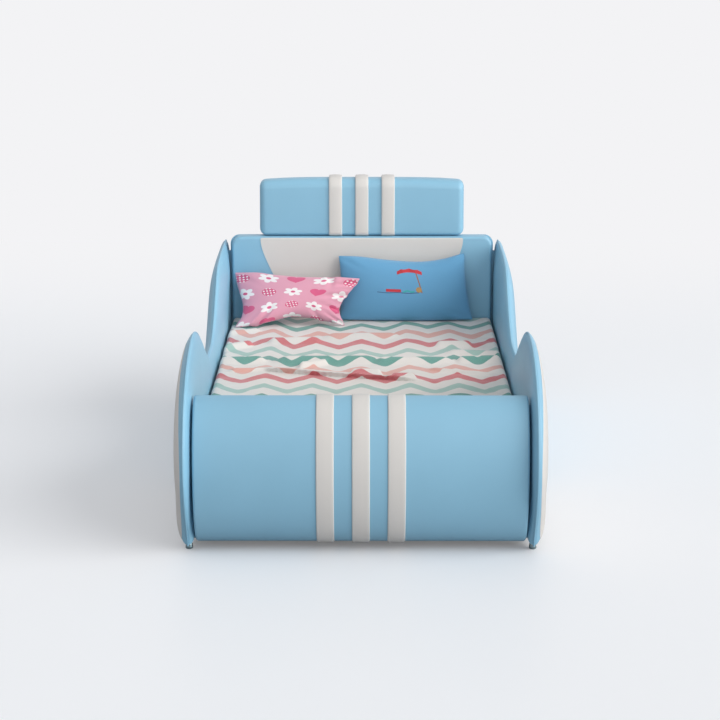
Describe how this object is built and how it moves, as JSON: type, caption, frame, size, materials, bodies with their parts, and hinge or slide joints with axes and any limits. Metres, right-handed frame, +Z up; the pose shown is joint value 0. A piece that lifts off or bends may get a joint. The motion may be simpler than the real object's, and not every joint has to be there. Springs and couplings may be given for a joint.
{
  "type": "single bed",
  "caption": "Upholstered child's single bed with humped leaf-shaped side panels, a barrel-shaped footboard, a headboard with a bolster above it, a slat base and bedding.",
  "frame": {"origin": "on the floor under the middle of the bed's bounding box", "axes": "+Z up, +Y from the foot to the head along the bed's length, +X to the right of someone standing at the foot and looking to the head"},
  "size_m": [1.38, 2.374, 1.107],
  "materials": {
    "leather_blue": "satin synthetic leather with a fine grain",
    "leather_white": "satin synthetic leather with a fine grain",
    "board_ply": "raw plywood",
    "slat_wood": "satin laminated beech",
    "steel_black": "satin powder coat",
    "foot_chrome": "polished",
    "glide_nylon": "matte",
    "lining_cloth": "matte woven lining",
    "mattress_ticking": "matte woven ticking",
    "quilt_cotton": "matte printed cotton",
    "pillow_pink_cotton": "matte printed cotton",
    "pillow_blue_cotton": "matte cotton with a small motif"
  },
  "bodies": {
    "bed": {"side_board_left": "board_ply", "side_inner_pad_left": "leather_blue", "side_outer_pad_left": "leather_blue", "side_white_panel_left": "leather_white", "side_board_right": "board_ply", "side_inner_pad_right": "leather_blue", "side_outer_pad_right": "leather_blue", "side_white_panel_right": "leather_white", "foot_front_left": "foot_chrome", "foot_rear_left": "foot_chrome", "foot_front_right": "foot_chrome", "foot_rear_right": "foot_chrome", "footboard_board": "board_ply", "footboard_lining": "lining_cloth", "footboard_pad": "leather_blue", "footboard_strip_left": "leather_white", "footboard_strip_middle": "leather_white", "footboard_strip_right": "leather_white", "headboard_board": "board_ply", "headboard_pad": "leather_blue", "headboard_inset": "leather_white", "headboard_back_body": "leather_blue", "bolster_core": "board_ply", "bolster_pad": "leather_blue", "bolster_strip_left": "leather_white", "bolster_strip_middle": "leather_white", "bolster_strip_right": "leather_white", "bolster_post_left": "steel_black", "bolster_post_right": "steel_black", "side_rail_left": "steel_black", "bracket_foot_left": "steel_black", "bracket_head_left": "steel_black", "side_rail_right": "steel_black", "bracket_foot_right": "steel_black", "bracket_head_right": "steel_black", "centre_beam": "steel_black", "beam_hanger_foot": "steel_black", "beam_hanger_head": "steel_black", "centre_leg_foot": "steel_black", "leg_glide_foot": "glide_nylon", "centre_leg_head": "steel_black", "leg_glide_head": "glide_nylon", "slat_01": "slat_wood", "slat_02": "slat_wood", "slat_03": "slat_wood", "slat_04": "slat_wood", "slat_05": "slat_wood", "slat_06": "slat_wood", "slat_07": "slat_wood", "slat_08": "slat_wood", "slat_09": "slat_wood", "slat_10": "slat_wood", "slat_11": "slat_wood", "slat_12": "slat_wood"},
    "mattress_set": {"mattress": "mattress_ticking", "quilt": "quilt_cotton"},
    "pink_pillow": {"pillow_pink": "pillow_pink_cotton"},
    "blue_pillow": {"pillow_blue": "pillow_blue_cotton"}
  },
  "joints": [
    {"name": "mattress_lift", "type": "slide", "parent": "bed", "child": "mattress_set", "axis": [0, 0, 1], "range_m": [0, 0.56]},
    {"name": "pink_pillow_lift", "type": "slide", "parent": "mattress_set", "child": "pink_pillow", "axis": [0, -0.7071, 0.7071], "range_m": [0, 0.25]},
    {"name": "blue_pillow_lift", "type": "slide", "parent": "mattress_set", "child": "blue_pillow", "axis": [0, 0, 1], "range_m": [0, 0.3]}
  ]
}
